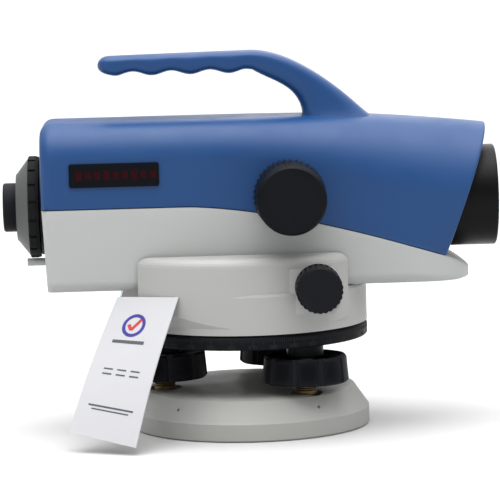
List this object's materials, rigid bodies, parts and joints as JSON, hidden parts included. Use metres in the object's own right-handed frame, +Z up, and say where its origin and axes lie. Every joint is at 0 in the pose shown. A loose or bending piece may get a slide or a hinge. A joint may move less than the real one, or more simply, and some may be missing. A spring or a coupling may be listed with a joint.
{
  "type": "automatic level",
  "caption": "Automatic surveying level with blue cover and carry handle, focusing knob, three-screw levelling base, horizontal circle and hinged level mirror.",
  "frame": {"origin": "centre of the tripod thread in the plane of the base seat, on the vertical axis", "axes": "+X along the optical axis to the objective, +Z up the vertical axis, focusing knob on the -Y side"},
  "size_m": [0.2118, 0.1366, 0.162],
  "materials": {
    "pale_paint": "satin",
    "grey_paint": "satin",
    "blue_cover": "satin",
    "black_plastic": "matte",
    "black_metal": "satin",
    "charcoal": "satin",
    "mid_grey": "satin",
    "black_rubber": "matte",
    "brass": "satin",
    "steel": "brushed",
    "alu": "satin",
    "optics": "clear",
    "mirror": "polished",
    "gloss_black": "gloss",
    "card": "matte"
  },
  "bodies": {
    "base": {"base_plate": "pale_paint", "spring_plate": "steel", "spring_plate_screws": "steel", "front_ball_sleeve": "brass"},
    "rear_balls": {"rear_ball_sleeves": "brass"},
    "foot_screw_a": {"foot_stem_a": "steel", "foot_knob_a": "black_plastic"},
    "foot_screw_b": {"foot_stem_b": "steel", "foot_knob_b": "black_plastic"},
    "foot_screw_c": {"foot_stem_c": "steel", "foot_knob_c": "black_plastic"},
    "levelling_head": {"levelling_head": "black_metal", "head_sleeves": "black_metal", "spindle": "steel", "spindle_nut": "steel"},
    "circle": {"horizontal_circle": "charcoal"},
    "alidade": {"drum_housing": "pale_paint", "index_window": "optics", "body_screws": "steel", "upper_cover": "blue_cover", "lower_body": "grey_paint", "nameplate": "gloss_black", "inspection_tag": "card", "main_tube": "alu", "objective_barrel": "black_metal", "objective_crown": "optics", "objective_flint": "optics", "objective_retainer": "black_metal", "focus_bushing": "brass", "tangent_bushings": "brass", "compensator_frame": "alu", "fixed_prisms": "optics", "rear_tube": "black_metal", "reticle_ring": "brass", "reticle_glass": "optics", "reticle_screws": "steel", "eyepiece_sleeve": "mid_grey", "bubble_housing": "black_plastic", "bubble_vial": "optics", "mirror_bracket": "grey_paint"},
    "focus_drive": {"focus_knob": "black_plastic", "focus_shaft": "steel"},
    "focus_slide": {"focus_cell": "brass", "focus_lens": "optics", "focus_rack": "brass"},
    "fine_motion": {"tangent_shaft": "steel", "tangent_knobs": "black_plastic"},
    "worm_wheel": {"worm_wheel": "brass"},
    "pendulum": {"pendulum_yoke": "steel", "pendulum_prism": "optics"},
    "check_button": {"check_button": "grey_paint"},
    "dioptre": {"dioptre_ring": "mid_grey", "grip_band": "black_rubber"},
    "eyepiece": {"eyecup": "black_plastic", "eye_lens": "optics"},
    "level_mirror": {"mirror_frame": "black_plastic", "mirror_glass": "mirror"}
  },
  "joints": [
    {"name": "head_pitch", "type": "hinge", "parent": "base", "child": "rear_balls", "pos_m": [-0.01128, 0.01497, 0.011], "axis": [-0.7986, -0.6018, 0], "range_deg": [-1.5, 1.5]},
    {"name": "head_roll", "type": "hinge", "parent": "rear_balls", "child": "levelling_head", "pos_m": [0, 0, 0.011], "axis": [0.6018, -0.7986, 0], "range_deg": [-1.5, 1.5]},
    {"name": "foot_screw_a_turn", "type": "hinge", "parent": "base", "child": "foot_screw_a", "pos_m": [0.02257, -0.02995, 0.0275], "axis": [0, 0, 1], "range_deg": [-710, 710]},
    {"name": "foot_screw_b_turn", "type": "hinge", "parent": "rear_balls", "child": "foot_screw_b", "pos_m": [0.01465, 0.03452, 0.0275], "axis": [0, 0, 1], "range_deg": [-410, 410]},
    {"name": "foot_screw_c_turn", "type": "hinge", "parent": "rear_balls", "child": "foot_screw_c", "pos_m": [-0.03722, -0.00457, 0.0275], "axis": [0, 0, 1], "range_deg": [-410, 410]},
    {"name": "circle_turn", "type": "hinge", "parent": "levelling_head", "child": "circle", "pos_m": [0, 0, 0.042], "axis": [0, 0, 1], "continuous": true},
    {"name": "alidade_turn", "type": "hinge", "parent": "levelling_head", "child": "alidade", "pos_m": [0, 0, 0.055], "axis": [0, 0, 1], "continuous": true},
    {"name": "focus_turn", "type": "hinge", "parent": "alidade", "child": "focus_drive", "pos_m": [0.0175, -0.045, 0.1018], "axis": [0, 1, 0], "range_deg": [-225, 225]},
    {"name": "focus_travel", "type": "slide", "parent": "alidade", "child": "focus_slide", "axis": [1, 0, 0], "range_m": [-0.00985, 0.00985]},
    {"name": "fine_motion_turn", "type": "hinge", "parent": "alidade", "child": "fine_motion", "pos_m": [0.028, 0, 0.0645], "axis": [0, 1, 0], "continuous": true},
    {"name": "worm_wheel_turn", "type": "hinge", "parent": "alidade", "child": "worm_wheel", "pos_m": [0, 0, 0.0647], "axis": [0, 0, 1], "continuous": true},
    {"name": "pendulum_swing", "type": "hinge", "parent": "alidade", "child": "pendulum", "pos_m": [-0.04, 0, 0.1135], "axis": [0, 1, 0], "range_deg": [-0.5, 0.5]},
    {"name": "check_button_press", "type": "slide", "parent": "alidade", "child": "check_button", "axis": [1, 0, 0], "range_m": [0, 0.003], "stiffness_N_per_m": 300, "springref_m": -0.002},
    {"name": "dioptre_turn", "type": "hinge", "parent": "alidade", "child": "dioptre", "pos_m": [-0.095, 0, 0.097], "axis": [1, 0, 0], "range_deg": [-150, 150]},
    {"name": "eyepiece_travel", "type": "slide", "parent": "alidade", "child": "eyepiece", "axis": [1, 0, 0], "range_m": [-0.00126, 0.00126]},
    {"name": "level_mirror_tilt", "type": "hinge", "parent": "alidade", "child": "level_mirror", "pos_m": [-0.0015, 0.0411, 0.089], "axis": [0, 1, 0], "range_deg": [-45, 45]}
  ],
  "couplings": [
    {"joint": "foot_screw_a_turn", "follows": "head_pitch", "ratio": -471.24},
    {"joint": "foot_screw_b_turn", "follows": "head_roll", "ratio": -272.07},
    {"joint": "foot_screw_c_turn", "follows": "head_roll", "ratio": 272.07},
    {"joint": "focus_travel", "follows": "focus_turn", "m_per_rad": -0.0025},
    {"joint": "worm_wheel_turn", "follows": "fine_motion_turn", "ratio": 0.0125},
    {"joint": "eyepiece_travel", "follows": "dioptre_turn", "m_per_rad": 0.000477}
  ]
}
